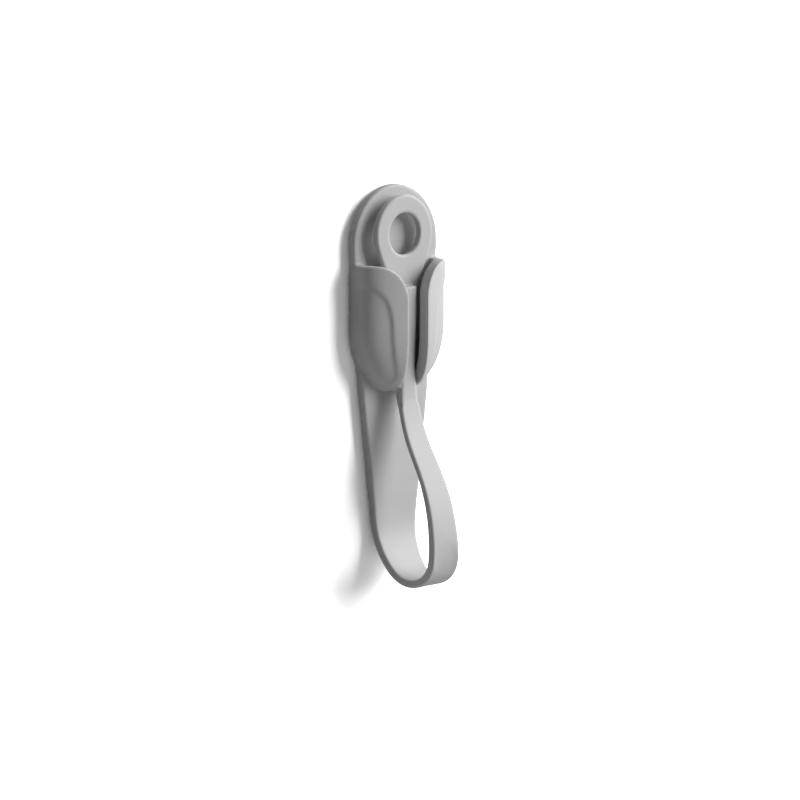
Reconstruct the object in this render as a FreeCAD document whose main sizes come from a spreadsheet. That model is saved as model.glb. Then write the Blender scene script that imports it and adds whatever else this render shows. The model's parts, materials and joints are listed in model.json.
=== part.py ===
import FreeCAD, Part
import math
import os

# Adhesive cable clip: a moulded wall plate with a two-winged cradle, whose tail runs down the
# wall, turns forward and up as the strap of a closed loop, and ends in a neck and a finger ring
# that rest in the cradle. A thin adhesive pad holds the plate to the wall.
#
# Frame: +Z up, the wall is the plane Y = 0 and the clip stands out from it towards -Y.
# The origin is the middle of the adhesive pad's back face. A "depth" is the distance from
# the wall, so a depth d lies at Y = -d. A "drop" is how far something lies below the middle
# of the dome.

os.makedirs("parts", exist_ok=True)
doc = FreeCAD.newDocument("CableClip")
Vector = FreeCAD.Vector

# The driving sizes, in millimetres and degrees.
sheet = doc.addObject("Spreadsheet::Sheet", "Sizes")
SIZES = [
    # adhesive pad
    ("pad_width", 16.0),
    ("pad_height", 44.0),
    ("pad_thickness", 0.5),
    ("pad_corner_radius", 3.0),
    # wall plate and tail
    ("dome_radius", 13.0),
    ("dome_centre_height", 15.0),
    ("dome_arc_drop", 0.45),
    ("plate_thickness", 2.0),
    ("plate_side_drop", 18.4),
    ("plate_shoulder_radius", 20.4),
    ("tail_top_drop", 27.2),
    ("tail_end_drop", 58.0),
    ("tail_end_width", 14.1),
    ("front_edge_radius", 0.45),
    ("back_edge_bevel", 0.2),
    # cradle
    ("cradle_top_drop", 4.6),
    ("cradle_straight_drop", 18.4),
    ("cradle_end_length", 15.2),
    ("cradle_end_fullness", 3.3),
    ("cradle_front_depth", 9.62),
    ("cradle_side_depth", 3.0),
    ("cradle_corner_depth", 7.2),
    ("cradle_fullness", 1.6),
    ("wing_front_thickness", 2.8),
    ("wing_side_thickness", 2.4),
    ("slot_width", 5.64),
    ("lip_corner_radius", 8.0),
    ("cradle_root_depth", 1.5),
    # thumb recess on each wing
    ("recess_depth", 0.35),
    ("recess_height", 22.8),
    ("recess_reach", 5.5),
    ("recess_fullness", 1.8),
    ("recess_middle_drop", 20.2),
    ("recess_middle_depth", 3.0),
    # strap: the bends of its outer line, then its widths and thicknesses
    ("first_bend_drop", 62.3),
    ("first_bend_radius", 17.15),
    ("first_bend_angle", 44.8),
    ("loop_bend_radius", 7.5),
    ("loop_bend_angle", 134.9),
    ("lean_bend_radius", 37.5),
    ("lean_bend_angle", 30.7),
    ("rise_length", 4.35),
    ("back_bend_radius", 31.9),
    ("back_bend_angle", 17.6),
    ("loop_width", 8.8),
    ("lean_width", 8.4),
    ("strap_top_width", 5.8),
    ("strap_end_drop", 35.4),
    ("strap_end_corner", 1.8),
    ("loop_thickness", 1.8),
    ("strap_thickness", 1.25),
    ("strap_edge_bevel", 0.34),
    ("join_step", 0.02),
    # neck and ring head
    ("neck_width", 4.7),
    ("neck_depth", 7.2),
    ("neck_overhang", 0.12),
    ("neck_sink", 1.25),
    ("neck_top_drop", 9.8),
    ("neck_level_height", 5.5),
    ("neck_waist_drop", 28.0),
    ("neck_waist", 0.5),
    ("neck_round", 1.15),
    ("neck_foot_width", 5.4),
    ("neck_foot_round", 0.55),
    ("neck_foot_step", 0.1),
    ("neck_foot_reach", 2.0),
    ("stem_thickness", 1.95),
    ("stem_sink", 0.7),
    ("stem_foot_reach", 5.5),
    ("ring_outer_radius", 8.75),
    ("ring_hole_radius", 4.6),
    ("ring_centre_rise", 1.7),
    ("ring_depth", 5.33),
    ("ring_thickness", 1.5),
    ("ring_taper_angle", 23.0),
]
for row, (name, value) in enumerate(SIZES, start=1):
    sheet.set(f"A{row}", name)
    sheet.set(f"B{row}", str(value))
    sheet.setAlias(f"B{row}", name)
doc.recompute()
v = {name: float(sheet.get(name)) for name, value in SIZES}


def level(drop):
    """The height of a point that lies `drop` below the middle of the dome."""
    return v["dome_centre_height"] - drop


def place(x, depth, z):
    return Vector(x, -depth, z)


def feature(name, shape):
    """A document object that holds a shape worked out here."""
    item = doc.addObject("Part::Feature", name)
    item.Shape = shape
    return item


def origin_plane(body, role):
    return next(o for o in body.Origin.OriginFeatures if o.Role == role)


def front_sketch(body, name, depth_expression):
    """A sketch parallel to the wall: its x is X, its y is Z, and it faces away from the wall."""
    sketch = body.newObject("Sketcher::SketchObject", name)
    sketch.AttachmentSupport = [(origin_plane(body, "XZ_Plane"), "")]
    sketch.MapMode = "FlatFace"
    sketch.setExpression("AttachmentOffset.Base.z", depth_expression)
    return sketch


def outline(sketch, corners):
    """Closes a chain of ("line", start, end) and ("arc", centre, radius, a0, a1) edges."""
    edges = []
    for kind, *data in corners:
        if kind == "line":
            a, b = data
            edge = Part.LineSegment(Vector(a[0], a[1], 0), Vector(b[0], b[1], 0))
        else:
            centre, radius, a0, a1 = data
            circle = Part.Circle(Vector(centre[0], centre[1], 0), Vector(0, 0, 1), radius)
            edge = Part.ArcOfCircle(circle, math.radians(a0), math.radians(a1))
        edges.append(edge)
    sketch.addGeometry(edges, False)
    return sketch


def pad(body, sketch, length_expression):
    item = body.newObject("PartDesign::Pad", sketch.Name + "Pad")
    item.Profile = sketch
    item.setExpression("Length", length_expression)
    body.Tip = item
    doc.recompute()
    return item


def soften(body, base, edges, kind, size_expression):
    """Rounds ("Fillet") or bevels ("Chamfer") some edges of a feature."""
    item = body.newObject("PartDesign::" + kind, base.Name + kind)
    item.Base = (base, edges)
    item.setExpression("Radius" if kind == "Fillet" else "Size", size_expression)
    body.Tip = item
    doc.recompute()
    return item


def edges_where(shape, test):
    return [f"Edge{i}" for i, edge in enumerate(shape.Edges, start=1) if test(edge.BoundBox)]


# Adhesive pad: a rounded rectangle of thin foam tape, hidden behind the plate.
pad_body = doc.addObject("PartDesign::Body", "AdhesivePad")
pad_body.Label = "adhesive_pad"
sketch = front_sketch(pad_body, "PadOutline", "0 mm")
half_w = v["pad_width"] / 2
half_h = v["pad_height"] / 2
r = v["pad_corner_radius"]
outline(
    sketch,
    [
        ("line", (-half_w + r, -half_h), (half_w - r, -half_h)),
        ("arc", (half_w - r, -half_h + r), r, 270, 360),
        ("line", (half_w, -half_h + r), (half_w, half_h - r)),
        ("arc", (half_w - r, half_h - r), r, 0, 90),
        ("line", (half_w - r, half_h), (-half_w + r, half_h)),
        ("arc", (-half_w + r, half_h - r), r, 90, 180),
        ("line", (-half_w, half_h - r), (-half_w, -half_h + r)),
        ("arc", (-half_w + r, -half_h + r), r, 180, 270),
    ],
)
pad(pad_body, sketch, "Sizes.pad_thickness")

# Wall plate: a dome, straight sides, rounded shoulders and the long taper of the tail.
back = v["pad_thickness"]
front = back + v["plate_thickness"]
R = v["dome_radius"]
shoulder = v["plate_shoulder_radius"]
shoulder_fall = v["tail_top_drop"] - v["plate_side_drop"]
shoulder_angle = math.degrees(math.asin(shoulder_fall / shoulder))
tail_top_x = R - shoulder + math.sqrt(shoulder**2 - shoulder_fall**2)
tail_end_x = v["tail_end_width"] / 2
arc_z = level(v["dome_arc_drop"])
side_z = level(v["plate_side_drop"])
tail_top_z = level(v["tail_top_drop"])
tail_end_z = level(v["tail_end_drop"])

plate_body = doc.addObject("PartDesign::Body", "WallPlate")
sketch = front_sketch(plate_body, "PlateOutline", "Sizes.pad_thickness")
outline(
    sketch,
    [
        ("arc", (0, arc_z), R, 0, 180),
        ("line", (-R, arc_z), (-R, side_z)),
        ("arc", (-R + shoulder, side_z), shoulder, 180, 180 + shoulder_angle),
        ("line", (-tail_top_x, tail_top_z), (-tail_end_x, tail_end_z)),
        ("line", (-tail_end_x, tail_end_z), (tail_end_x, tail_end_z)),
        ("line", (tail_end_x, tail_end_z), (tail_top_x, tail_top_z)),
        ("arc", (R - shoulder, side_z), shoulder, 360 - shoulder_angle, 360),
        ("line", (R, side_z), (R, arc_z)),
    ],
)
plate = pad(plate_body, sketch, "Sizes.plate_thickness")


def on_plane(box, depth):
    return abs(box.YMin + depth) < 1e-4 and abs(box.YMax + depth) < 1e-4


def above_end(box):
    return box.ZMax > tail_end_z + 0.01


plate = soften(
    plate_body,
    plate,
    edges_where(plate.Shape, lambda box: on_plane(box, front) and above_end(box)),
    "Fillet",
    "Sizes.front_edge_radius",
)
plate = soften(
    plate_body,
    plate,
    edges_where(plate.Shape, lambda box: on_plane(box, back) and above_end(box)),
    "Chamfer",
    "Sizes.back_edge_bevel",
)


def weave(profile, weights, run, base):
    """A face that carries a profile of (across, rise) poles along a run of scaled levels."""
    surface = Part.BSplineSurface()
    surface.buildFromPolesMultsKnots(
        [[place(x * p.x, base + rise * p.y, p.z) for p in run.getPoles()] for x, rise in profile],
        [len(profile), len(profile)],
        run.getMultiplicities(),
        [0, 1],
        run.getKnots(),
        False,
        False,
        len(profile) - 1,
        run.Degree,
        [[w] * len(run.getPoles()) for w in weights],
    )
    return surface


def closed_solid(faces):
    shell = Part.makeShell(faces)
    shell.sewShape()
    solid = Part.makeSolid(shell)
    if solid.Volume < 0:
        solid.reverse()
    return solid


def cradle_form(top_z, base, inset):
    """The cradle's skin as a solid: straight at the top, closing like the end of an egg.

    A level cut has a straight side, then one full curve to the lip of the slot, and a ridge
    in the middle that the slot later takes away. It rises from the depth `base`.
    """
    half = R - inset["side"]
    side_x = half - inset["lean"]
    side_d = v["cradle_side_depth"] - inset["sink"] - base
    corner = (side_x, v["cradle_corner_depth"] - inset["corner"] - base)
    lip_x = v["slot_width"] / 2
    lip_d = v["cradle_front_depth"] - inset["front"] - base
    ridge = (0.0, lip_d + (lip_d - corner[1]) / (side_x - lip_x) * lip_x)
    start = (half, 0.0)
    cuts = [
        ([start, (side_x, side_d)], [1, 1]),
        ([(side_x, side_d), corner, (lip_x, lip_d)], [1, v["cradle_fullness"], 1]),
        ([(lip_x, lip_d), ridge], [1, 1]),
    ]

    straight_z = level(v["cradle_straight_drop"])
    length = v["cradle_end_length"] - inset["end"]
    full = v["cradle_end_fullness"]
    last = math.acos(0.9 * v["slot_width"] / 2 / R)

    def closing(a):
        u = math.sin(a)
        return Vector(math.cos(a), (1 - u**full) ** (1 / full), straight_z - length * u)

    count = 9
    curve = Part.BSplineCurve()
    curve.interpolate(
        Points=[closing(last * i / count) for i in range(count + 1)],
        Parameters=[i / count for i in range(count + 1)],
        InitialTangent=Vector(0, 0, -length * last),
        FinalTangent=(closing(last) - closing(last - 1e-5)) * (last / 1e-5),
    )
    upper = Part.BSplineCurve()
    upper.buildFromPolesMultsKnots(
        [Vector(1, 1, top_z), Vector(1, 1, straight_z)], [2, 2], [0, 1], False, 1
    )

    faces = []
    rims = {upper: [], curve: []}
    feet = []
    for side in (1, -1):
        for profile, weights in cuts:
            poles = [(side * x, d) for x, d in profile]
            for run in (upper, curve):
                surface = weave(poles, weights, run, base)
                faces.append(surface.toShape())
                rims[run].append(surface.vIso(0 if run is upper else 1).toShape())
                if profile[0] is start:
                    feet.append(surface.uIso(0).toShape())
    for rim in rims.values():
        ends = [p for e in rim for p in (e.Vertexes[0].Point, e.Vertexes[-1].Point)]
        low = max(p.y for p in ends)
        left, right = [p for p in ends if abs(p.y - low) < 1e-6]
        floor = Part.makeLine(left, right)
        feet.append(floor)
        faces.append(Part.Face(Part.Wire(Part.__sortEdges__(rim + [floor]))))
    return closed_solid(faces + [Part.Face(Part.Wire(Part.__sortEdges__(feet)))])


# Cradle: the outer skin, hollowed from the plate's face outwards, and opened along its front.
no_inset = {"side": 0.0, "lean": 0.0, "corner": 0.0, "sink": 0.0, "front": 0.0, "end": 0.0}
hollow_inset = {
    "side": v["wing_side_thickness"],
    "lean": 0.0,
    "corner": v["wing_side_thickness"],
    "sink": 0.0,
    "front": v["wing_front_thickness"],
    "end": v["wing_front_thickness"],
}
recess_inset = {
    "side": 0.0,
    "lean": v["recess_depth"] / 3,
    "corner": v["recess_depth"],
    "sink": v["recess_depth"],
    "front": v["recess_depth"],
    "end": 0.0,
}
top_z = level(v["cradle_top_drop"])
outer_form = feature("CradleOuter", cradle_form(top_z, v["cradle_root_depth"], no_inset))
hollow_form = feature("CradleHollow", cradle_form(top_z + 1.0, front, hollow_inset))

mouth_body = doc.addObject("PartDesign::Body", "CradleMouth")
sketch = front_sketch(mouth_body, "MouthOutline", "0 mm")
half_slot = v["slot_width"] / 2
lip = v["lip_corner_radius"]
clear = 2.0
far_x = R + clear
far_z = level(v["cradle_straight_drop"]) - v["cradle_end_length"] - clear
outline(
    sketch,
    [
        ("line", (-far_x, top_z + clear), (-far_x, top_z)),
        ("line", (-far_x, top_z), (-half_slot - lip, top_z)),
        ("arc", (-half_slot - lip, top_z - lip), lip, 0, 90),
        ("line", (-half_slot, top_z - lip), (-half_slot, far_z)),
        ("line", (-half_slot, far_z), (half_slot, far_z)),
        ("line", (half_slot, far_z), (half_slot, top_z - lip)),
        ("arc", (half_slot + lip, top_z - lip), lip, 90, 180),
        ("line", (half_slot + lip, top_z), (far_x, top_z)),
        ("line", (far_x, top_z), (far_x, top_z + clear)),
        ("line", (far_x, top_z + clear), (-far_x, top_z + clear)),
    ],
)
pad(mouth_body, sketch, "Sizes.cradle_front_depth + 5")

hollowed = doc.addObject("Part::Cut", "HollowedCradle")
hollowed.Base = outer_form
hollowed.Tool = hollow_form
wings = doc.addObject("Part::Cut", "CradleWings")
wings.Base = hollowed
wings.Tool = mouth_body
doc.recompute()

# Thumb recess: a shallow oval on each wing, its floor drawn in from the skin at the front.
recess_form = feature("RecessFloor", cradle_form(top_z + 1.0, v["cradle_root_depth"], recess_inset))
oval_middle = place(-R - clear, v["recess_middle_depth"], level(v["recess_middle_drop"]))
half_height = Vector(0, 0, v["recess_height"] / 2)
half_reach = Vector(0, -v["recess_reach"], 0)
quarters = []
for up, out in ((1, 1), (-1, 1), (-1, -1), (1, -1)):
    quarter = Part.BSplineCurve()
    tips = [oval_middle + half_height * up, oval_middle + half_reach * out]
    pole = tips[1] + half_height * up
    quarter.buildFromPolesMultsKnots(
        [tips[0], pole, tips[1]], [3, 3], [0, 1], False, 2, [1, v["recess_fullness"], 1]
    )
    quarters.append(quarter.toShape())
oval = feature("RecessOval", Part.Wire(Part.__sortEdges__(quarters)))
oval_prism = doc.addObject("Part::Extrusion", "RecessPrism")
oval_prism.Base = oval
oval_prism.Dir = Vector(1, 0, 0)
oval_prism.DirMode = "Custom"
oval_prism.Solid = True
oval_prism.setExpression("LengthFwd", "2 * Sizes.dome_radius + 4")
beyond_side = doc.addObject("Part::Box", "RecessSpan")
beyond_side.Length = 4 * R
beyond_side.setExpression("Width", "Sizes.cradle_front_depth")
beyond_side.setExpression("Height", "2 * Sizes.recess_height")
beyond_side.Placement.Base = place(
    -2 * R,
    front - v["front_edge_radius"] + v["cradle_front_depth"],
    level(v["recess_middle_drop"]) - v["recess_height"],
)
oval_reach = doc.addObject("Part::Common", "RecessReach")
oval_reach.Base = oval_prism
oval_reach.Tool = beyond_side
recess = doc.addObject("Part::Cut", "ThumbRecess")
recess.Base = oval_reach
recess.Tool = recess_form
scooped = doc.addObject("Part::Cut", "ScoopedWings")
scooped.Base = wings
scooped.Tool = recess
doc.recompute()

# Ring head: a flat disc with a hole, whose sides run straight in to the narrow stem.
ring_back = v["ring_depth"] - v["ring_thickness"]
ring_z = level(-v["ring_centre_rise"])
ring_R = v["ring_outer_radius"]
taper = math.radians(v["ring_taper_angle"])
touch_x = ring_R * math.cos(taper)
touch_z = ring_z - ring_R * math.sin(taper)
stem_x = v["neck_width"] / 2 - v["neck_overhang"]
stem_top_z = touch_z - (touch_x - stem_x) / math.tan(taper)


def strap_path():
    """The strap's outer line: (length so far, depth, z, heading) at each station.

    It starts down the back of the tail, bends forward and up round the loop, leans back
    towards the cradle and ends upright, level with the front of the ring head. The length
    at the end of the loop comes with it.
    """
    path = [(0.0, back, tail_end_z, -math.pi / 2)]

    def forward(length):
        run, depth, z, heading = path[-1]
        depth += length * math.cos(heading)
        z += length * math.sin(heading)
        path.append((run + length, depth, z, heading))

    def bend(radius, angle, side, count):
        run, depth, z, heading = path[-1]
        cd = depth - side * radius * math.sin(heading)
        cz = z + side * radius * math.cos(heading)
        for i in range(1, count + 1):
            h = heading + side * angle * i / count
            depth = cd + side * radius * math.sin(h)
            z = cz - side * radius * math.cos(h)
            path.append((run + radius * angle * i / count, depth, z, h))

    forward(tail_end_z - level(v["first_bend_drop"]))
    bend(v["first_bend_radius"], math.radians(v["first_bend_angle"]), 1, 4)
    bend(v["loop_bend_radius"], math.radians(v["loop_bend_angle"]), 1, 8)
    loop_end = path[-1][0]
    bend(v["lean_bend_radius"], math.radians(v["lean_bend_angle"]), 1, 4)
    forward(v["rise_length"])
    bend(v["back_bend_radius"], math.radians(v["back_bend_angle"]), -1, 3)
    run, depth, z, heading = path[-1]
    lean = heading - math.pi / 2
    bend((depth - v["ring_depth"]) / (1 - math.cos(lean)), lean, -1, 5)
    return path, loop_end


def blend(table, run):
    """Straight-line reading of (length along the strap, value) pairs."""
    for (r0, a), (r1, b) in zip(table, table[1:]):
        if run <= r1:
            return a + (b - a) * (run - r0) / (r1 - r0)
    return table[-1][1]


def ribbon(stations, rounded):
    """A bar whose section changes along its way: a rectangle with bevelled or rounded corners.

    Each station is (run, at, inward, width, thickness, outer, inner): the outer side of the
    section is centred on `at`, the section grows from there along `inward`, and the last two
    are the sizes of its outer and inner corners. `rounded` makes the outer corners round.
    """
    across = Vector(1, 0, 0)
    length = stations[-1][0] - stations[0][0]
    steps = [(station[0] - stations[0][0]) / length for station in stations]
    corners = [[[], [], []] for i in range(4)]
    for run, at, inward, width, thickness, outer, inner in stations:
        w = width / 2
        tips = [(w, 0, outer, (-1, 0), (0, 1)), (w, thickness, inner, (0, -1), (-1, 0))]
        tips += [(-w, thickness, inner, (1, 0), (0, -1)), (-w, 0, outer, (0, 1), (1, 0))]
        for corner, (x, y, size, before, after) in zip(corners, tips):
            for rail, (dx, dy) in zip(corner, (before, (0, 0), after)):
                rail.append(at + across * (x + dx * size) + inward * (y + dy * size))
    rails = []
    for number, corner in enumerate(corners):
        curves = []
        for points in corner if rounded and number in (0, 3) else corner[::2]:
            curve = Part.BSplineCurve()
            curve.interpolate(Points=points, Parameters=steps)
            curves.append(curve)
        rails.append(curves)
    faces = []
    ends = [[], []]
    for i in range(4):
        for group in (rails[i], [rails[i][-1], rails[(i + 1) % 4][0]]):
            n = len(group)
            weights = (1, 1) if n == 2 else (1, math.sqrt(0.5), 1)
            surface = Part.BSplineSurface()
            surface.buildFromPolesMultsKnots(
                [curve.getPoles() for curve in group],
                [n, n],
                group[0].getMultiplicities(),
                [0, 1],
                group[0].getKnots(),
                False,
                False,
                n - 1,
                3,
                [[w] * len(curve.getPoles()) for w, curve in zip(weights, group)],
            )
            faces.append(surface.toShape())
            ends[0].append(surface.vIso(0).toShape())
            ends[1].append(surface.vIso(1).toShape())
    for rim in ends:
        faces.append(Part.Face(Part.Wire(Part.__sortEdges__(rim))))
    return closed_solid(faces)


path, lean_run = strap_path()
loop_run = next(run for run, depth, z, h in path if h > -0.2)
end_run, end_depth, end_z, end_heading = path[-1]
top_run = next(run for run, depth, z, h in path if z > level(v["strap_end_drop"]) and h > 1)
step = v["join_step"]
widths = [
    (0, v["tail_end_width"] - 2 * step),
    (loop_run, v["loop_width"]),
    (lean_run, v["lean_width"]),
    (top_run, v["strap_top_width"]),
    (end_run, v["strap_top_width"]),
]
thicknesses = [
    (0, v["plate_thickness"] - 2 * step),
    (loop_run, v["loop_thickness"]),
    (loop_run + v["loop_bend_radius"] * 1.6, v["loop_thickness"]),
    (top_run - 18, v["strap_thickness"]),
    (end_run, v["strap_thickness"]),
]
strap_stations = [
    (
        run,
        place(0, depth, z) + Vector(0, math.sin(heading), math.cos(heading)) * step,
        Vector(0, math.sin(heading), math.cos(heading)),
        blend(widths, run),
        blend(thicknesses, run),
        v["strap_edge_bevel"],
        v["strap_edge_bevel"],
    )
    for run, depth, z, heading in path
    if run <= top_run
]
long_strap = feature("LongStrap", ribbon(strap_stations, False))

end_body = doc.addObject("PartDesign::Body", "StrapEnd")
sketch = front_sketch(end_body, "EndOutline", "0 mm")
w = v["strap_top_width"] / 2
c = v["strap_end_corner"]
end_top = level(v["strap_end_drop"])
outline(
    sketch,
    [
        ("line", (-w - clear, end_top - c), (-w, end_top - c)),
        ("arc", (-w + c, end_top - c), c, 90, 180),
        ("line", (-w + c, end_top), (w - c, end_top)),
        ("arc", (w - c, end_top - c), c, 0, 90),
        ("line", (w, end_top - c), (w + clear, end_top - c)),
        ("line", (w + clear, end_top - c), (w + clear, top_z)),
        ("line", (w + clear, top_z), (-w - clear, top_z)),
        ("line", (-w - clear, top_z), (-w - clear, end_top - c)),
    ],
)
pad(end_body, sketch, "3 * Sizes.neck_depth")
strap = doc.addObject("Part::Cut", "Strap")
strap.Base = long_strap
strap.Tool = end_body
doc.recompute()

head_body = doc.addObject("PartDesign::Body", "RingHead")
sketch = front_sketch(head_body, "HeadOutline", "Sizes.ring_depth - Sizes.ring_thickness")
taper_deg = v["ring_taper_angle"]
outline(
    sketch,
    [
        ("arc", (0, ring_z), ring_R, -taper_deg, 180 + taper_deg),
        ("line", (-touch_x, touch_z), (-stem_x, stem_top_z)),
        ("line", (-stem_x, stem_top_z), (-stem_x, end_z)),
        ("line", (-stem_x, end_z), (stem_x, end_z)),
        ("line", (stem_x, end_z), (stem_x, stem_top_z)),
        ("line", (stem_x, stem_top_z), (touch_x, touch_z)),
    ],
)
hole = Part.Circle(Vector(0, ring_z, 0), Vector(0, 0, 1), v["ring_hole_radius"])
sketch.addGeometry(hole, False)
head = pad(head_body, sketch, "Sizes.ring_thickness")


def on_face(box):
    flat = on_plane(box, v["ring_depth"]) or on_plane(box, ring_back)
    return flat and box.ZMax > end_z + 0.01


head = soften(
    head_body, head, edges_where(head.Shape, on_face), "Chamfer", "Sizes.strap_edge_bevel"
)

# Stem: the bar that carries the ring head on from the strap, thickest behind the strap's end.
neck_top = level(v["neck_top_drop"])
level_z = neck_top - v["neck_level_height"]
waist_z = level(v["neck_waist_drop"])
foot_z = end_top - v["stem_foot_reach"]


def strap_front(z):
    """Depth of the strap's outer line at a height on its upper run."""
    for (r0, d0, z0, h0), (r1, d1, z1, h1) in zip(path, path[1:]):
        if r0 >= lean_run and z <= z1:
            return d0 + (d1 - d0) * (z - z0) / (z1 - z0)
    return v["ring_depth"]


stem_w = 2 * stem_x - 2 * step
foot_w = v["neck_foot_width"] - 2 * v["neck_overhang"]
stem_bars = [
    (end_z, stem_w, step, v["ring_thickness"] - step),
    (
        (end_z + waist_z) / 2,
        stem_w,
        v["stem_sink"] / 2,
        (v["ring_thickness"] + v["stem_thickness"]) / 2,
    ),
    (waist_z, stem_w, v["stem_sink"], v["stem_thickness"]),
    ((waist_z + end_top) / 2, (stem_w + foot_w) / 2, v["stem_sink"], v["stem_thickness"]),
    (end_top, foot_w, v["stem_sink"], v["stem_thickness"]),
    (
        (end_top + foot_z) / 2,
        foot_w,
        (v["stem_sink"] + v["strap_thickness"] * 0.25) / 2,
        (v["stem_thickness"] + v["strap_thickness"] * 0.85) / 2,
    ),
    (foot_z, foot_w, v["strap_thickness"] * 0.25, v["strap_thickness"] * 0.85),
]
stem_stations = [
    (
        end_z - z,
        place(0, strap_front(z) - near, z),
        Vector(0, 1, 0),
        width,
        far - near,
        v["back_edge_bevel"],
        v["back_edge_bevel"],
    )
    for z, width, near, far in stem_bars
]
stem = feature("Stem", ribbon(stem_stations, False))

# Neck: a rounded bar on the stem's front, waisted where the wings close in on it, whose foot
# runs out just under the face of the strap.
neck_bars = [
    (neck_top, v["neck_width"], v["neck_depth"], v["neck_round"]),
    ((neck_top + level_z) / 2, v["neck_width"], v["neck_depth"], v["neck_round"]),
    (level_z, v["neck_width"], v["neck_depth"], v["neck_round"]),
    (
        (level_z + waist_z) / 2,
        v["neck_width"],
        v["neck_depth"] - v["neck_waist"] * 0.55,
        v["neck_round"],
    ),
    (waist_z, v["neck_width"], v["neck_depth"] - v["neck_waist"], v["neck_round"]),
]
ahead = v["neck_depth"] - v["neck_waist"] - strap_front(waist_z)
for part in (0.5, 1.0):
    z = waist_z + (end_top - waist_z) * part
    neck_bars.append(
        (
            z,
            v["neck_width"] + (v["neck_foot_width"] - v["neck_width"]) * part,
            strap_front(z) + ahead * (1 - part) - v["neck_foot_step"] * part,
            v["neck_round"] + (v["neck_foot_round"] - v["neck_round"]) * part,
        )
    )
z = end_top - v["neck_foot_reach"]
sunk = v["neck_foot_step"] + v["strap_thickness"] * 0.2
neck_bars.append((z, v["neck_foot_width"], strap_front(z) - sunk, v["neck_foot_round"]))
neck_stations = [
    (
        neck_top - z,
        place(0, depth, z),
        Vector(0, 1, 0),
        width,
        depth - strap_front(z) + v["neck_sink"],
        corner,
        v["back_edge_bevel"],
    )
    for z, width, depth, corner in neck_bars
]
neck = feature("Neck", ribbon(neck_stations, True))
doc.recompute()

clip = doc.addObject("Part::MultiFuse", "Clip")
clip.Label = "clip_body"
clip.Shapes = [plate_body, scooped, strap, head_body, stem, neck]
doc.recompute()

for item in doc.Objects:
    if "Invalid" in item.State or "Error" in item.State:
        raise RuntimeError(f"{item.Name} failed: {item.State}")
for item in (clip, pad_body):
    shape = item.Shape
    if shape.isNull() or not shape.isValid():
        raise RuntimeError(f"{item.Label} has no valid shape")
    shape.exportStep(f"parts/{item.Label}.step")
    print(item.Label, len(shape.Solids), "solid,", round(shape.Volume, 2), "mm3")
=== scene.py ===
# %% [markdown]
# # An adhesive cable clip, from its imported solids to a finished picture
# The clip is one soft moulding: a plate on the wall, two wings that form a cradle, and a strap that
# leaves the plate's tail, turns up and tucks its neck and finger ring into the cradle. The packed
# solids already have the true sizes, so this script gives them soft moulded edges, a finish, a
# wall to hang on and a camera. Blender works in metres here, so a size in millimetres is
# multiplied by MM.

# %% Load the frame
import bpy
import json
import math
import numpy as np
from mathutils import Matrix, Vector

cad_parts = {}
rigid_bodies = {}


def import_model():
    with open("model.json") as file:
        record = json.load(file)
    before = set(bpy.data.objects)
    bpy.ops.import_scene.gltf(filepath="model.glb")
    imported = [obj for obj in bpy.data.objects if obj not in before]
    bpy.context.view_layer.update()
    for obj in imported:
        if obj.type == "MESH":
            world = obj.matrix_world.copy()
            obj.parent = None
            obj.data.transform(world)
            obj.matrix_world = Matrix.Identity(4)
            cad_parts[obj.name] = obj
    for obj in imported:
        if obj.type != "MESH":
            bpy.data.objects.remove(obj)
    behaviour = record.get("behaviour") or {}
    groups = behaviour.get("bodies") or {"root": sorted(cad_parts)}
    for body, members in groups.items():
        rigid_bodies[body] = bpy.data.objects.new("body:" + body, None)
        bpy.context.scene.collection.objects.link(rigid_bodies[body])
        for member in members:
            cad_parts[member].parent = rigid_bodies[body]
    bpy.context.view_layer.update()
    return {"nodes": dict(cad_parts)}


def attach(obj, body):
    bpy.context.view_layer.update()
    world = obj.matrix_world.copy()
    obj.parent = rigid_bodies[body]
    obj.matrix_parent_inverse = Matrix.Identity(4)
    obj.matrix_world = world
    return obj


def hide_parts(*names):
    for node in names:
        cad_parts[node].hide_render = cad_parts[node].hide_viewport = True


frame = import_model()
MM = 0.001


# %% [markdown]
# ## The moulded body
# The real clip is moulded in one go, so no edge on it is sharp and no inner corner is either: the
# mould is cut with small radii everywhere. A bevel on each edge would have to cope with dozens of
# places where edges meet. A voxel remesh forgets where the edges were, and a little smoothing then
# rounds every edge and fills every corner by the same small amount, which is what a mould does.
#
# A remesh also keeps whatever flats it is given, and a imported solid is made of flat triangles, some
# of them long. Each one still knows the true surface's direction at its three corners. So before
# the remesh every triangle is bent into a curved patch that leaves its corners at right angles to
# those directions (a PN triangle, a cubic patch with ten control points). This cell reads the
# triangles. Corners that lie on one spot get one number, which later tells which edges are shared.

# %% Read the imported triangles
SAME_SPOT = 1e-7


def read_triangles(source):
    """Corner places, corner directions and spot numbers, a row for each triangle."""
    place = np.empty(len(source.vertices) * 3)
    source.vertices.foreach_get("co", place)
    place = place.reshape(-1, 3)
    corner = np.empty(len(source.loops), dtype=np.int32)
    source.loops.foreach_get("vertex_index", corner)
    corner = corner.reshape(-1, 3)
    facing = np.empty(len(source.loops) * 3)
    source.corner_normals.foreach_get("vector", facing)
    cells = np.round(place / SAME_SPOT).astype(np.int64)
    spots = np.unique(cells, axis=0, return_inverse=True)[1].reshape(-1)
    return place[corner], facing.reshape(-1, 3, 3), spots[corner]


corners, directions, corner_spots = read_triangles(frame["nodes"]["clip_body"].data)
print("packed body:", len(corners), "triangles on", corner_spots.max() + 1, "spots")

# %% [markdown]
# ## Control points along the edges
# Every edge gets two control points, a third of the way in from each end and moved into the plane
# that the direction at that end stands on. Two triangles that share an edge may know slightly
# different directions there, so their control points are averaged and no gap can open.

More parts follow.
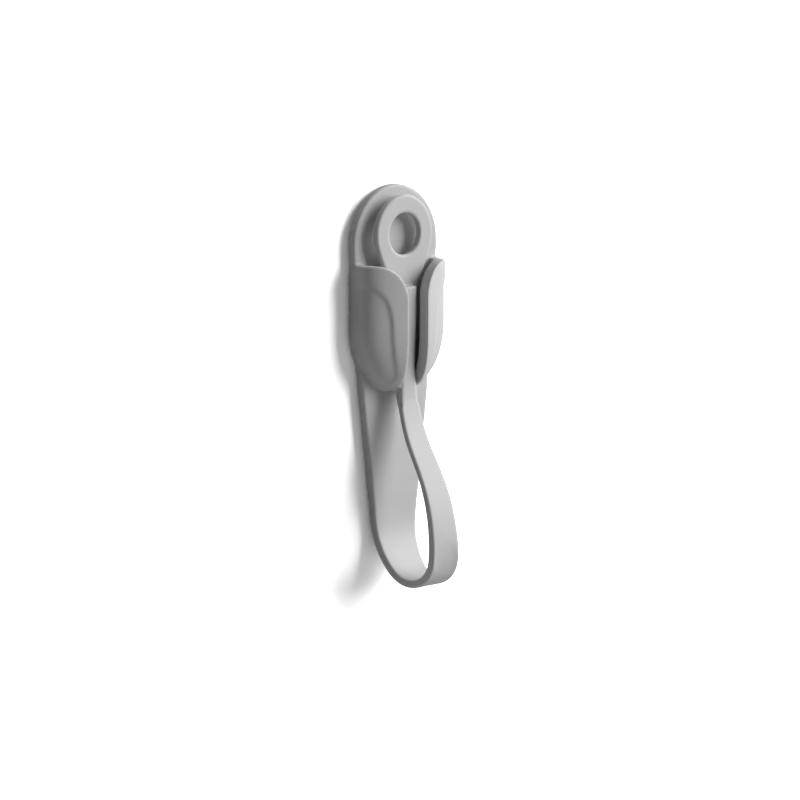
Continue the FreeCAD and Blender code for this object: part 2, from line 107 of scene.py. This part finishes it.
# %% Place and average the edges' control points
EDGE_WAYS = [(0, 1), (1, 0), (1, 2), (2, 1), (2, 0), (0, 2)]


def edge_handles(points, facing, spots):
    """The control points of each triangle's edges, one row for each of EDGE_WAYS."""
    handles = []
    names = []
    for a, b in EDGE_WAYS:
        step = points[:, b] - points[:, a]
        lift = (step * facing[:, a]).sum(axis=1, keepdims=True)
        handles.append(points[:, a] + (step - lift * facing[:, a]) / 3)
        names.append(spots[:, a].astype(np.int64) * (spots.max() + 1) + spots[:, b])
    handles = np.concatenate(handles)
    shared = np.unique(np.concatenate(names), return_inverse=True)[1].reshape(-1)
    total = np.zeros((shared.max() + 1, 3))
    np.add.at(total, shared, handles)
    average = total / np.bincount(shared)[:, None]
    return average[shared].reshape(len(EDGE_WAYS), -1, 3)


handles = edge_handles(corners, directions, corner_spots)
print("control points on edges:", handles.shape[0] * handles.shape[1])

# %% [markdown]
# ## Small triangles on each patch
# The tenth control point lies beyond the mean of the six on the edges, by half of that mean's way
# from the mean of the corners. A grid of steps over each patch then gives small triangles, fine
# enough for the remesh to see a curve.

# %% Fill the patches with small triangles
BEND_STEPS = 5


def patch_grid(steps):
    """The spots of a triangular grid, and the small triangles between them."""
    grid = [(i, j) for i in range(steps + 1) for j in range(steps + 1 - i)]
    number = {spot: k for k, spot in enumerate(grid)}
    small = []
    for i, j in grid:
        if i + j < steps:
            small.append((number[i, j], number[i + 1, j], number[i, j + 1]))
        if i + j < steps - 1:
            small.append((number[i + 1, j], number[i + 1, j + 1], number[i, j + 1]))
    return grid, np.array(small)


def bent_mesh(name, points, handles):
    """A fine mesh of all the curved patches."""
    middle = handles.mean(axis=0) * 1.5 - points.mean(axis=1) * 0.5
    grid, small = patch_grid(BEND_STEPS)
    rows = []
    for i, j in grid:
        share = ((BEND_STEPS - i - j) / BEND_STEPS, i / BEND_STEPS, j / BEND_STEPS)
        row = 6 * share[0] * share[1] * share[2] * middle
        for c in range(3):
            row = row + share[c] ** 3 * points[:, c]
        for k, (a, b) in enumerate(EDGE_WAYS):
            row = row + 3 * share[a] ** 2 * share[b] * handles[k]
        rows.append(row)
    verts = np.stack(rows, axis=1)
    first = np.arange(len(points))[:, None, None] * len(grid)
    faces = (first + small[None]).reshape(-1, 3)

    mesh = bpy.data.meshes.new(name)
    mesh.vertices.add(verts.shape[0] * verts.shape[1])
    mesh.vertices.foreach_set("co", verts.reshape(-1))
    mesh.loops.add(faces.size)
    mesh.loops.foreach_set("vertex_index", faces.reshape(-1))
    mesh.polygons.add(len(faces))
    mesh.polygons.foreach_set("loop_start", np.arange(len(faces)) * 3)
    mesh.update(calc_edges=True)
    return mesh


def add_object(name, data):
    """Makes an object of a mesh, a lamp or a camera and puts it in the scene."""
    obj = bpy.data.objects.new(name, data)
    bpy.context.scene.collection.objects.link(obj)
    return obj


def triangles(obj):
    """How many triangles an object's faces make."""
    return sum(len(p.vertices) - 2 for p in obj.data.polygons)


moulded_body = add_object("moulded_body", bent_mesh("moulded_body", corners, handles))
print("bent copy:", triangles(moulded_body), "triangles")

# %% [markdown]
# ## Soft edges all over
# The voxels are small against the strap, which is little more than a millimetre thick at its end.
# After the remesh a Smooth modifier moves each vertex towards its neighbours: enough rounds melt
# the voxels' steps and round the edges, and too many would thin the strap. Modifiers are live until
# they are baked, and a finished piece is plain mesh with its object at the origin.

# %% Make the soft moulded body
VOXEL = 0.18 * MM
SMOOTH_STRENGTH = 0.5
SOFTEN_ROUNDS = 12


def bake_modifiers(obj):
    """Turns the object's live modifiers into plain mesh and removes them."""
    graph = bpy.context.evaluated_depsgraph_get()
    done = bpy.data.meshes.new_from_object(obj.evaluated_get(graph), depsgraph=graph)
    old = obj.data
    obj.modifiers.clear()
    obj.data = done
    bpy.data.meshes.remove(old)


remesh = moulded_body.modifiers.new("skin", "REMESH")
remesh.mode = "VOXEL"
remesh.voxel_size = VOXEL
soften = moulded_body.modifiers.new("soften", "SMOOTH")
soften.factor = SMOOTH_STRENGTH
soften.iterations = SOFTEN_ROUNDS
bake_modifiers(moulded_body)
print("soft skin:", triangles(moulded_body), "triangles")

# %% [markdown]
# ## Places that are softer than the rest
# The thumb recess on each wing has no crisp rim at all: its floor blends into the wing over more
# than a millimetre, and towards its lower front corner it fades away. Seen from the side the oval
# is four equal conic quarters, each pulled towards its corner by a weight. The lips of the mouth
# between the wings are rounder than other edges too. Their outline seen from the front is a
# straight side with a quarter circle on top. Both outlines are written as points here, so that the
# next step can tell how far the skin is from them.

# %% Draw the outlines that get blended
OVAL_MIDDLE = (3.0, -5.2)
OVAL_HALF = (5.5, 11.4)
OVAL_FULLNESS = 1.8
MOUTH_HALF = 2.82
MOUTH_TOP = 10.4
MOUTH_RADIUS = 8.0
MOUTH_SIDE_STEP = 0.5
MOUTH_SIDE_STEPS = 43


def oval_points(steps=24):
    """Points along the front half of the oval, as depth and height in mm."""
    points = []
    for side in (1, -1):
        for i in range(steps + 1):
            t = i / steps
            weights = ((1 - t) ** 2, 2 * OVAL_FULLNESS * t * (1 - t), t * t)
            total = sum(weights)
            out = (weights[1] + weights[2]) / total
            up = (weights[0] + weights[1]) / total
            points.append(
                (OVAL_MIDDLE[0] + OVAL_HALF[0] * out, OVAL_MIDDLE[1] + side * OVAL_HALF[1] * up)
            )
    return np.array(points)


def mouth_points(steps=40):
    """Points along one half of the mouth between the wings, as width and height in mm."""
    middle = (MOUTH_HALF + MOUTH_RADIUS, MOUTH_TOP - MOUTH_RADIUS)
    points = []
    for i in range(1, MOUTH_SIDE_STEPS + 1):
        points.append((MOUTH_HALF, middle[1] - i * MOUTH_SIDE_STEP))
    for i in range(steps + 1):
        a = math.pi - 0.5 * math.pi * i / steps
        points.append(
            (middle[0] + MOUTH_RADIUS * math.cos(a), middle[1] + MOUTH_RADIUS * math.sin(a))
        )
    return np.array(points)


oval_outline = oval_points()
mouth_outline = mouth_points()
print("outline points:", len(oval_outline), "on the oval,", len(mouth_outline), "on the mouth")

# %% [markdown]
# ## How strongly each spot is blended
# Every vertex of the skin gets a pull from 0 to 1. It is 1 near a place to blend and falls to 0
# farther off, and each pair of distances below says where the fall starts and ends. The places are
# the recess's rim and the corner where it fades, on the wings only, the wings' outer top corners,
# the mouth's lips at less than full strength, and the loop's broad faces, where the last trace of
# the flat triangles goes.

# %% Weigh the skin
RIM_BLEND = (0.8, 1.8)
FADE_SPOT = (7.4, -14.0)
FADE_BLEND = (2.2, 3.6)
WINGS_FROM = (3.4, 4.6)
WING_CORNER = (13.0, 10.4)
CORNER_BLEND = (1.0, 2.2)
LIP_BLEND = (0.7, 1.5)
LIP_DEPTH = 5.0
LIP_SHARE = 0.45
LOOP_HALF = (2.4, 3.4)
LOOP_TOP = -44.0
LOOP_FADE = 4


def fall_off(distance, near, far):
    """1 up to the near distance, 0 from the far one on, and a straight slope between them."""
    return np.clip((far - distance) / (far - near), 0, 1)


def distance_to(view, outline):
    """The distance in mm from each row of a flat view to the nearest point of an outline."""
    nearest = np.full(len(view), np.inf)
    for spot in outline:
        nearest = np.minimum(nearest, np.hypot(*(view - spot).T))
    return nearest


skin = np.empty(len(moulded_body.data.vertices) * 3)
moulded_body.data.vertices.foreach_get("co", skin)
skin = skin.reshape(-1, 3) / MM
across, depth, height = np.abs(skin[:, 0]), -skin[:, 1], skin[:, 2]
side_view = np.stack([depth, height], axis=1)
front_view = np.stack([across, height], axis=1)

pull = np.maximum(
    fall_off(distance_to(side_view, oval_outline), *RIM_BLEND),
    fall_off(distance_to(side_view, np.array([FADE_SPOT])), *FADE_BLEND),
)
# with the signs turned round the fall is a rise: nothing at the slot, all of it on the wings
pull *= fall_off(-across, -WINGS_FROM[1], -WINGS_FROM[0])
to_corner = distance_to(front_view, np.array([WING_CORNER]))
pull = np.maximum(pull, fall_off(to_corner, *CORNER_BLEND))
on_lips = fall_off(distance_to(front_view, mouth_outline), *LIP_BLEND) * (depth > LIP_DEPTH)
pull = np.maximum(pull, LIP_SHARE * on_lips)
on_loop = fall_off(across, *LOOP_HALF) * fall_off(height, LOOP_TOP - LOOP_FADE, LOOP_TOP)
pull = np.maximum(pull, on_loop)
print("strongly pulled vertices:", int((pull > 0.5).sum()), "of", len(pull))

# %% [markdown]
# ## Smooth the chosen skin
# A vertex group holds the pull, rounded to tenths so that each level is added in one go. A second
# Smooth modifier reads the group, so it runs for many rounds on the chosen skin and leaves the
# rest alone.

# %% Blend the recess rims, wing corners, mouth lips and loop faces
BLEND_LEVELS = 10
BLEND_ROUNDS = 60

blended = moulded_body.vertex_groups.new(name="blended_skin")
for level in range(1, BLEND_LEVELS + 1):
    chosen = np.nonzero(np.round(pull * BLEND_LEVELS) == level)[0]
    blended.add(chosen.tolist(), level / BLEND_LEVELS, "REPLACE")
blend = moulded_body.modifiers.new("blend", "SMOOTH")
blend.factor = SMOOTH_STRENGTH
blend.iterations = BLEND_ROUNDS
blend.vertex_group = "blended_skin"
bake_modifiers(moulded_body)
print("skin vertices blended:", int((pull > 0.5 / BLEND_LEVELS).sum()))

# %% [markdown]
# ## Fewer triangles
# The remesh spends as many triangles on a flat place as on a curved one. A Decimate modifier
# removes them where the skin is flattest, down to a number that an export keeps whole.

# %% Thin out the skin
MOST_TRIANGLES = 180000


def shade_smooth(obj):
    """Shades every face as part of one curved surface."""
    obj.data.polygons.foreach_set("use_smooth", [True] * len(obj.data.polygons))
    obj.data.update()


thin_out = moulded_body.modifiers.new("thin_out", "DECIMATE")
thin_out.ratio = MOST_TRIANGLES / triangles(moulded_body)
bake_modifiers(moulded_body)
shade_smooth(moulded_body)
print("moulded body:", triangles(moulded_body), "triangles")

# %% [markdown]
# ## Writing a finish as a sum
# A finish is a small network of nodes. Written as wires it is hard to read, so one class wraps a
# socket and lets Python's own + and * add the Math nodes. Every other node comes from one method
# that takes a type, its settings and the values or links of its sockets.

# %% The finish writer


class Wire:
    """One output socket of a node tree, with arithmetic."""

    def __init__(self, tree, socket):
        self.tree = tree
        self.socket = socket

    def _math(self, operation, other):
        return Finish(self.tree).node(
            "ShaderNodeMath", {"operation": operation}, {0: self, 1: other}
        )

    def __add__(self, other):
        return self._math("ADD", other)

    __radd__ = __add__

    def __mul__(self, other):
        return self._math("MULTIPLY", other)

    __rmul__ = __mul__


class Finish:
    """Adds nodes to one tree of a material or a world."""

    def __init__(self, tree):
        self.tree = tree

    def node(self, kind, settings=None, inputs=None, output=0):
        """Adds a node with its settings, a ramp's stops among them, and its inputs."""
        made = self.tree.nodes.new(kind)
        for name, value in (settings or {}).items():
            if name == "stops":
                for element, (at, colour) in zip(made.color_ramp.elements, value):
                    element.position = at
                    element.color = colour
            else:
                setattr(made, name, value)
        for key, value in (inputs or {}).items():
            if isinstance(value, Wire):
                self.tree.links.new(value.socket, made.inputs[key])
            else:
                made.inputs[key].default_value = value
        return Wire(self.tree, made.outputs[output]) if made.outputs else made


def new_finish(name):
    """An empty material, and the writer that adds nodes to it."""
    material = bpy.data.materials.new(name)
    material.use_nodes = True
    material.node_tree.nodes.clear()
    return material, Finish(material.node_tree)


def grey(value):
    """A linear colour from a grey as it looks on a screen."""
    linear = ((value + 0.055) / 1.055) ** 2.4
    return (linear, linear, linear, 1.0)


print("finish writer: a screen grey of 0.8 is", round(grey(0.8)[0], 3), "in linear light")

# %% [markdown]
# ## The body's finish
# The clip is a soft grey thermoplastic rubber. It is matte, with a very fine spark-eroded texture
# from the mould that breaks up the highlight, and hardly any colour change. Noise at two scales
# gives the colour and the roughness a trace of unevenness, and the finer one makes the bump.

# %% The rubber finish
RUBBER_DARK = grey(0.775)
RUBBER_LIGHT = grey(0.795)
RUBBER_ROUGHNESS = 0.46
GRAIN_HEIGHT = 0.03 * MM

rubber, f = new_finish("soft_grey_rubber")
place = f.node("ShaderNodeTexCoord", output="Object")
cloud = f.node(
    "ShaderNodeTexNoise",
    {},
    {"Vector": place, "Scale": 90.0, "Detail": 3.0, "Roughness": 0.5},
)
speck = f.node(
    "ShaderNodeTexNoise",
    {},
    {"Vector": place, "Scale": 2600.0, "Detail": 2.0, "Roughness": 0.6},
)
shade = f.node(
    "ShaderNodeValToRGB",
    {"stops": [(0.3, RUBBER_DARK), (0.7, RUBBER_LIGHT)]},
    {"Fac": cloud * 0.8 + speck * 0.2},
)
matte = cloud * 0.06 + speck * 0.05 + RUBBER_ROUGHNESS
grain = f.node(
    "ShaderNodeBump",
    {},
    {"Height": speck, "Strength": 0.25, "Distance": GRAIN_HEIGHT},
)
surface = f.node(
    "ShaderNodeBsdfPrincipled",
    {},
    {"Base Color": shade, "Roughness": matte, "Normal": grain, "IOR": 1.47},
)
f.node("ShaderNodeOutputMaterial", {}, {"Surface": surface})
moulded_body.data.materials.clear()
moulded_body.data.materials.append(rubber)
print("rubber finish:", len(rubber.node_tree.nodes), "nodes")

# %% [markdown]
# ## The parting line
# Where the two halves of the mould meet they leave a fine raised line on the part. It runs round
# the rim of the finger ring and along both edges of the strap, half way through their thickness.
# That is a bead swept along a path, so the paths are drawn as plain edges first. The strap's path
# is a table of places along its outer face, and the ring's is an arc with two straight ends.

# %% Paths of the parting line
# run, depth of the outer face, height, heading and width along the strap, in mm and degrees
STRAP = [
    (0.0, 0.50, -43.00, -90.0, 14.06),
    (4.30, 0.50, -47.30, -90.0, 13.13),
    (7.65, 0.83, -50.63, -78.8, 12.41),
    (11.00, 1.79, -53.84, -67.6, 11.68),
    (14.36, 3.37, -56.79, -56.4, 10.96),
    (17.71, 5.48, -59.38, -45.2, 10.23),
    (19.92, 7.24, -60.70, -28.3, 9.75),
    (22.12, 9.31, -61.45, -11.5, 9.28),
    (24.33, 11.51, -61.57, 5.4, 8.80),
    (26.54, 13.64, -61.04, 22.3, 8.72),
    (28.75, 15.53, -59.92, 39.1, 8.64),
    (30.95, 17.02, -58.30, 56.0, 8.56),
    (33.16, 17.97, -56.31, 72.8, 8.48),
    (35.37, 18.30, -54.14, 89.7, 8.40),
    (40.39, 17.99, -49.13, 97.4, 8.06),
    (45.41, 17.02, -44.21, 105.1, 7.71),
    (50.44, 15.39, -39.46, 112.7, 7.37),
    (55.46, 13.15, -34.97, 120.4, 7.02),
    (59.81, 10.95, -31.21, 120.4, 6.72),
    (63.08, 9.44, -28.32, 114.5, 6.50),
    (66.34, 8.24, -25.28, 108.7, 6.27),
    (69.61, 7.35, -22.14, 102.8, 6.05),
]
THICKNESS_RUNS = [0, 24, 36, 70]
THICKNESSES = [1.96, 1.8, 1.8, 1.25]
RING_RADIUS = 8.75
RING_HEIGHT = 16.7
RING_MIDDLE_DEPTH = 4.58
RING_TAPER = math.radians(23)
RING_SIDE = 8.4


def strap_edge(side):
    """Points half way through the strap's thickness, along its left or right edge."""
    points = []
    for run, depth, height, heading, width in STRAP:
        a = math.radians(heading)
        half = float(np.interp(run, THICKNESS_RUNS, THICKNESSES)) / 2
        points.append(
            (side * width / 2, -(depth - half * math.sin(a)), height + half * math.cos(a))
        )
    return points


def ring_rim(steps=48):
    """Points round the ring's rim, with a straight run in to the neck at both ends."""
    start = -RING_TAPER
    rim = []
    for i in range(steps + 1):
        a = start + (math.pi - 2 * start) * i / steps
        rim.append((RING_RADIUS * math.cos(a), RING_HEIGHT + RING_RADIUS * math.sin(a)))
    run_in = (RING_SIDE * math.sin(RING_TAPER), RING_SIDE * math.cos(RING_TAPER))
    rim.insert(0, (rim[0][0] - run_in[0], rim[0][1] - run_in[1]))
    rim.append((rim[-1][0] + run_in[0], rim[-1][1] - run_in[1]))
    return [(x, -RING_MIDDLE_DEPTH, z) for x, z in rim]


def mesh_object(name, verts, faces, edges=()):
    """An object whose mesh has these vertices, faces and loose edges."""
    mesh = bpy.data.meshes.new(name)
    mesh.from_pydata([tuple(v) for v in verts], list(edges), [tuple(f) for f in faces])
    mesh.validate()
    return add_object(name, mesh)


verts, edges = [], []
for path in (ring_rim(), strap_edge(-1), strap_edge(1)):
    first = len(verts)
    verts += [Vector(point) * MM for point in path]
    edges += [(first + i, first + i + 1) for i in range(len(path) - 1)]
parting_line = mesh_object("parting_line", verts, [], edges)
print("parting line:", len(verts), "path points")

# %% [markdown]
# ## A node tree that sweeps a bead
# Geometry Nodes suit what follows a path. The tree turns the edges into smooth curves, spaces
# their points evenly, sweeps a small circle along them and gives the result its material. Its
# sizes are named inputs, so the same tree could draw any other bead.

# %% The bead tree
BEAD_SIDES = 8


def bead_tree():
    """The node tree, with its sizes and its material as named inputs."""
    tree = bpy.data.node_groups.new("bead_along_edges", "GeometryNodeTree")
    face = tree.interface
    face.new_socket("Geometry", in_out="INPUT", socket_type="NodeSocketGeometry")
    for name in ("Bead radius", "Spacing"):
        face.new_socket(name, in_out="INPUT", socket_type="NodeSocketFloat")
    face.new_socket("Material", in_out="INPUT", socket_type="NodeSocketMaterial")
    face.new_socket("Geometry", in_out="OUTPUT", socket_type="NodeSocketGeometry")

    def node(kind, **settings):
        made = tree.nodes.new(kind)
        for name, value in settings.items():
            setattr(made, name, value)
        return made

    def link(a, out, b, into):
        tree.links.new(a.outputs[out], b.inputs[into])

    given = node("NodeGroupInput")
    to_curve = node("GeometryNodeMeshToCurve")
    round_off = node("GeometryNodeCurveSplineType", spline_type="CATMULL_ROM")
    even = node("GeometryNodeResampleCurve", mode="LENGTH")
    ring = node("GeometryNodeCurvePrimitiveCircle", mode="RADIUS")
    ring.inputs["Resolution"].default_value = BEAD_SIDES
    sweep = node("GeometryNodeCurveToMesh")
    sweep.inputs["Fill Caps"].default_value = True
    real = node("GeometryNodeRealizeInstances")
    coat = node("GeometryNodeSetMaterial")
    done = node("NodeGroupOutput")
    link(given, "Geometry", to_curve, "Mesh")
    link(to_curve, "Curve", round_off, "Curve")
    link(round_off, "Curve", even, "Curve")
    link(given, "Spacing", even, "Length")
    link(given, "Bead radius", ring, "Radius")
    link(even, "Curve", sweep, "Curve")
    link(ring, "Curve", sweep, "Profile Curve")
    link(sweep, "Mesh", real, "Geometry")
    link(real, "Geometry", coat, "Geometry")
    link(given, "Material", coat, "Material")
    link(coat, "Geometry", done, "Geometry")
    return tree


sweep_bead = bead_tree()
print("bead tree:", len(sweep_bead.nodes), "nodes,", len(sweep_bead.links), "links")

# %% [markdown]
# ## The bead itself
# A modifier runs the tree on the paths. Its inputs are set by each socket's identifier, because a
# modifier doesn't know their names, and the result is kept as plain mesh. The bead is under a fifth
# of a millimetre across, and half of that lies in the body, so only a hairline stands out.

# %% Sweep the bead along the paths
BEAD_RADIUS = 0.09 * MM
BEAD_SPACING = 0.4 * MM


def run_tree(obj, tree, values):
    """Runs a tree on an object with named inputs, and keeps the result as plain mesh."""
    nodes = obj.modifiers.new("nodes", "NODES")
    nodes.node_group = tree
    for item in tree.interface.items_tree:
        if item.in_out == "INPUT" and item.name in values:
            nodes[item.identifier] = values[item.name]
    bake_modifiers(obj)


run_tree(
    parting_line,
    sweep_bead,
    {"Bead radius": BEAD_RADIUS, "Spacing": BEAD_SPACING, "Material": rubber},
)
shade_smooth(parting_line)
print("parting line bead:", triangles(parting_line), "triangles")

# %% [markdown]
# ## The adhesive pad
# Behind the plate is a thin closed-cell foam tape. Its outline in the solids is right, so the node
# stays and only gets a finish: an off-white foam with fine cells that show on its cut edge.

# %% The foam finish
FOAM_DARK = grey(0.80)
FOAM_LIGHT = grey(0.88)
FOAM_ROUGHNESS = 0.75
CELL_DEPTH = 0.05 * MM

foam, f = new_finish("white_foam_tape")
place = f.node("ShaderNodeTexCoord", output="Object")
cells = f.node("ShaderNodeTexVoronoi", {}, {"Vector": place, "Scale": 4200.0})
cloud = f.node("ShaderNodeTexNoise", {}, {"Vector": place, "Scale": 240.0, "Detail": 2.0})
shade = f.node(
    "ShaderNodeValToRGB",
    {"stops": [(0.1, FOAM_DARK), (0.6, FOAM_LIGHT)]},
    {"Fac": cells * 0.6 + cloud * 0.4},
)
pits = f.node("ShaderNodeBump", {}, {"Height": cells, "Strength": 0.5, "Distance": CELL_DEPTH})
tape = f.node(
    "ShaderNodeBsdfPrincipled",
    {},
    {"Base Color": shade, "Roughness": cloud * 0.1 + FOAM_ROUGHNESS, "Normal": pits},
)
f.node("ShaderNodeOutputMaterial", {}, {"Surface": tape})
pad_node = frame["nodes"]["adhesive_pad"]
pad_node.data.materials.clear()
pad_node.data.materials.append(foam)
print("foam finish:", len(foam.node_tree.nodes), "nodes")

# %% [markdown]
# ## Paint for the wall and the floor
# To light that bounces, both sheets are plain pale paint. To the camera they are brighter: the
# wall so much that its lit parts go white and only the shadow is left, and the floor glows a
# little because little light gets there. From its back a sheet is see-through.

# %% The finishes of the wall and the floor


def stage_finish(name, to_light, to_camera, glow):
    """A grey paint with one shade for bounced light and one for the camera, clear from behind."""
    material, f = new_finish(name)
    camera_ray = f.node("ShaderNodeLightPath", output="Is Camera Ray")
    behind = f.node("ShaderNodeNewGeometry", output="Backfacing")
    paint = f.node("ShaderNodeBsdfDiffuse", {}, {"Color": (to_light, to_light, to_light, 1.0)})
    bright = f.node("ShaderNodeBsdfDiffuse", {}, {"Color": (to_camera, to_camera, to_camera, 1.0)})
    shine = f.node("ShaderNodeEmission", {}, {"Strength": glow})
    seen = f.node("ShaderNodeAddShader", {}, {0: bright, 1: shine})
    lit = f.node("ShaderNodeMixShader", {}, {"Fac": camera_ray, 1: paint, 2: seen})
    clear = f.node("ShaderNodeBsdfTransparent")
    mixed = f.node("ShaderNodeMixShader", {}, {"Fac": behind, 1: lit, 2: clear})
    f.node("ShaderNodeOutputMaterial", {}, {"Surface": mixed})
    return material


wall_paint = stage_finish("pale_wall", to_light=0.62, to_camera=2.3, glow=0.0)
floor_paint = stage_finish("pale_floor", to_light=0.62, to_camera=1.0, glow=0.85)
print("sheet finishes:", wall_paint.name, "and", floor_paint.name)

# %% [markdown]
# ## The wall and the floor
# The clip hangs on a plain pale wall, and its soft shadow there tells how far each part stands out.
# The wall is one big sheet with a cut-out that the plate covers, so that light from behind can
# still reach the pad when the clip is looked at from the back. Each corner of the cut-out is joined
# to a corner on the wall's far edge, straight out from a middle behind the clip. The floor is a
# plain sheet well below the clip.

# %% Wall and floor
WALL_BEHIND = 0.1 * MM
WALL_REACH = 0.45
WALL_MIDDLE = -5.0 * MM
CUT_OUT_RADIUS = 11.0
CUT_OUT_RISE = 14.5
CUT_OUT_SIDE = [(11.0, -3.4), (9.2, -12.4), (4.9, -43.0), (3.0, -50.0)]
FLOOR_HEIGHT = -0.6
FLOOR_CORNERS = [(-2, -3), (2, -3), (2, 1), (-2, 1)]


def cut_out(steps=16):
    """A loop just inside the plate's outline, in the wall's X and Z."""
    points = []
    for i in range(steps + 1):
        a = math.pi * i / steps
        points.append((CUT_OUT_RADIUS * math.cos(a), CUT_OUT_RISE + CUT_OUT_RADIUS * math.sin(a)))
    points += [(-x, z) for x, z in CUT_OUT_SIDE] + CUT_OUT_SIDE[::-1]
    return [(x * MM, z * MM) for x, z in points]


inner = cut_out()
outer = []
for x, z in inner:
    a = math.atan2(z - WALL_MIDDLE, x)
    reach = WALL_REACH / max(abs(math.cos(a)), abs(math.sin(a)))
    outer.append((reach * math.cos(a), reach * math.sin(a)))
n = len(inner)
wall = mesh_object(
    "wall",
    [(x, WALL_BEHIND, z) for x, z in inner + outer],
    [(i, n + i, n + (i + 1) % n, (i + 1) % n) for i in range(n)],
)
if wall.data.polygons[0].normal.y > 0:
    wall.data.flip_normals()
floor = mesh_object(
    "floor",
    [(x, y, FLOOR_HEIGHT) for x, y in FLOOR_CORNERS],
    [(0, 1, 2, 3)],
)
wall.data.materials.append(wall_paint)
floor.data.materials.append(floor_paint)
print("wall with a cut-out of", n, "corners, and a floor")

# %% [markdown]
# ## Light
# One large soft light stands to the right and in front, a little above, so faces that look right
# are pale, the front is mid grey and faces that look left fall into shade. The even light of the
# room fills the rest, and to the camera the room is white. A small light straight behind the wall
# shines through the cut-out, for the pad and the back of the plate.

# %% Lamps and world
LAMP_AIM = (0, 0, -0.01)
ROOM_LIGHT = 0.10


def turned_to(aim, at):
    """The rotation of a lamp or camera that stands at one place and looks at another."""
    return (Vector(aim) - Vector(at)).to_track_quat("-Z", "Y").to_euler()


def soft_lamp(name, at, size, watts):
    """A square lamp that looks at the clip."""
    data = bpy.data.lights.new(name, "AREA")
    data.shape = "SQUARE"
    data.size = size
    data.energy = watts
    lamp = add_object(name, data)
    lamp.location = at
    lamp.rotation_euler = turned_to(LAMP_AIM, at)


soft_lamp("key_right", at=(0.85, -0.56, 0.42), size=0.95, watts=18.2)
soft_lamp("rear_fill", at=(0.0, 1.0, 0.15), size=0.4, watts=7.0)

world = bpy.data.worlds.new("room")
bpy.context.scene.world = world
world.use_nodes = True
world.node_tree.nodes.clear()
f = Finish(world.node_tree)
camera_ray = f.node("ShaderNodeLightPath", output="Is Camera Ray")
room = f.node("ShaderNodeBackground", {}, {"Color": (1, 1, 1, 1), "Strength": ROOM_LIGHT})
white = f.node("ShaderNodeBackground", {}, {"Color": (1, 1, 1, 1), "Strength": 1.0})
seen = f.node("ShaderNodeMixShader", {}, {"Fac": camera_ray, 1: room, 2: white})
f.node("ShaderNodeOutputWorld", {}, {"Surface": seen})
print("lamps:", [lamp.name for lamp in bpy.data.lights], "and the light of a room")

# %% [markdown]
# ## Camera
# The camera looks at the clip from its front left and slightly from above. A long lens from three
# quarters of a metre away keeps the near and the far wing almost the same size.

# %% The camera
CAMERA_AT = (-0.524788, -0.530513, 0.090368)
CAMERA_AIM = (-0.00128, -0.005, -0.02023)

camera_data = bpy.data.cameras.new("camera")
camera_data.sensor_width = 36.0
camera_data.lens = 152.0
camera = add_object("camera", camera_data)
camera.location = CAMERA_AT
camera.rotation_euler = turned_to(CAMERA_AIM, CAMERA_AT)
bpy.context.scene.camera = camera
bpy.context.scene.view_settings.view_transform = "Standard"
print("camera is", round(math.dist(CAMERA_AT, CAMERA_AIM) / MM), "mm from the clip")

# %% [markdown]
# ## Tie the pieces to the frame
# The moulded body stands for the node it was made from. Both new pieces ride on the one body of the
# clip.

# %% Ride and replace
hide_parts("clip_body")
for piece in (moulded_body, parting_line):
    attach(piece, "root")
bpy.context.view_layer.update()
